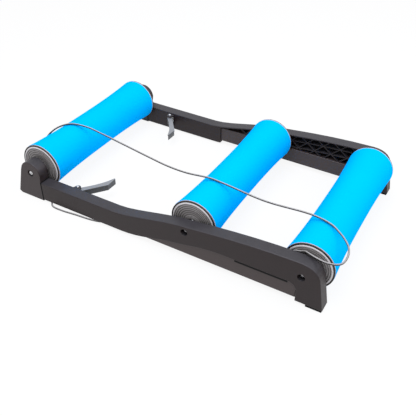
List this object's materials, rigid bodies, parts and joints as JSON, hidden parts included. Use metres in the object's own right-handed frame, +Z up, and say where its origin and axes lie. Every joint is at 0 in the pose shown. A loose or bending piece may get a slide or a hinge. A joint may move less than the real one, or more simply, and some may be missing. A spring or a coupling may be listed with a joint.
{
  "type": "bike rollers",
  "caption": "Retractable bike rollers: waisted drums between two side rails, with a sliding front carriage, clamp levers and an endless drive belt.",
  "frame": {"origin": "on the floor, midway between the two rails and midway between the outer sides of the front and rear drums, with the front carriage pushed in", "axes": "+X towards the rear feet, +Y towards the rider's right, +Z up"},
  "size_m": [0.8322, 0.4963, 0.1314],
  "materials": {
    "rail_plastic": "black moulded, fine grain",
    "arm_plastic": "black moulded, smoother than the rail",
    "drum_plastic": "bright blue, slightly glossy",
    "cap_plastic": "grey moulded, turned rings",
    "lever_plastic": "light grey moulded",
    "belt_rubber": "grey round belt, smooth",
    "foot_rubber": "black rubber",
    "glide_plastic": "pale low-friction plastic",
    "steel": "bright steel"
  },
  "bodies": {
    "rear_frame": {"outer_rail_left": "rail_plastic", "outer_rail_right": "rail_plastic", "guide_pad_left_1": "glide_plastic", "guide_pad_left_2": "glide_plastic", "guide_pad_right_1": "glide_plastic", "guide_pad_right_2": "glide_plastic", "rear_foot_pad_left": "foot_rubber", "rear_foot_pad_right": "foot_rubber", "lever_screw_left": "steel", "lever_screw_right": "steel", "clamp_shoe_left": "glide_plastic", "clamp_shoe_right": "glide_plastic", "middle_axle": "steel", "middle_spacer_left": "steel", "middle_spacer_right": "steel", "middle_axle_screw_left": "steel", "middle_axle_screw_right": "steel", "rear_axle": "steel", "rear_spacer_left": "steel", "rear_spacer_right": "steel", "rear_axle_screw_left": "steel", "rear_axle_screw_right": "steel", "drive_belt": "belt_rubber"},
    "front_carriage": {"front_bracket_left": "rail_plastic", "front_bracket_right": "rail_plastic", "sliding_arm_left": "arm_plastic", "sliding_arm_right": "arm_plastic", "bracket_screw_left": "steel", "bracket_screw_right": "steel", "front_foot_pad_left": "foot_rubber", "front_foot_pad_right": "foot_rubber", "front_axle": "steel", "front_spacer_left": "steel", "front_spacer_right": "steel", "front_axle_screw_left": "steel", "front_axle_screw_right": "steel"},
    "front_roller": {"front_drum": "drum_plastic", "front_cap_left": "cap_plastic", "front_cap_right": "cap_plastic", "front_bearing_left": "steel", "front_bearing_right": "steel"},
    "middle_roller": {"middle_drum": "drum_plastic", "middle_cap_left": "cap_plastic", "middle_cap_right": "cap_plastic", "middle_bearing_left": "steel", "middle_bearing_right": "steel"},
    "rear_roller": {"rear_drum": "drum_plastic", "rear_cap_left": "cap_plastic", "rear_cap_right": "cap_plastic", "rear_bearing_left": "steel", "rear_bearing_right": "steel"},
    "lever_left": {"clamp_lever_left": "lever_plastic"},
    "lever_right": {"clamp_lever_right": "lever_plastic"}
  },
  "joints": [
    {"name": "carriage_slide", "type": "slide", "parent": "rear_frame", "child": "front_carriage", "axis": [-1, 0, 0], "range_m": [0, 0.545], "deforming": ["drive_belt"]},
    {"name": "front_roller_spin", "type": "hinge", "parent": "front_carriage", "child": "front_roller", "pos_m": [-0.3515, 0, 0.074], "axis": [0, 1, 0], "continuous": true},
    {"name": "middle_roller_spin", "type": "hinge", "parent": "rear_frame", "child": "middle_roller", "pos_m": [0.083, 0, 0.074], "axis": [0, 1, 0], "continuous": true},
    {"name": "rear_roller_spin", "type": "hinge", "parent": "rear_frame", "child": "rear_roller", "pos_m": [0.3515, 0, 0.074], "axis": [0, 1, 0], "continuous": true},
    {"name": "lever_left_swing", "type": "hinge", "parent": "rear_frame", "child": "lever_left", "pos_m": [-0.2402, -0.205, 0.034], "axis": [0, 0, 1], "range_deg": [-50, 25]},
    {"name": "lever_right_swing", "type": "hinge", "parent": "rear_frame", "child": "lever_right", "pos_m": [-0.2402, 0.205, 0.034], "axis": [0, 0, 1], "range_deg": [-25, 50]}
  ]
}
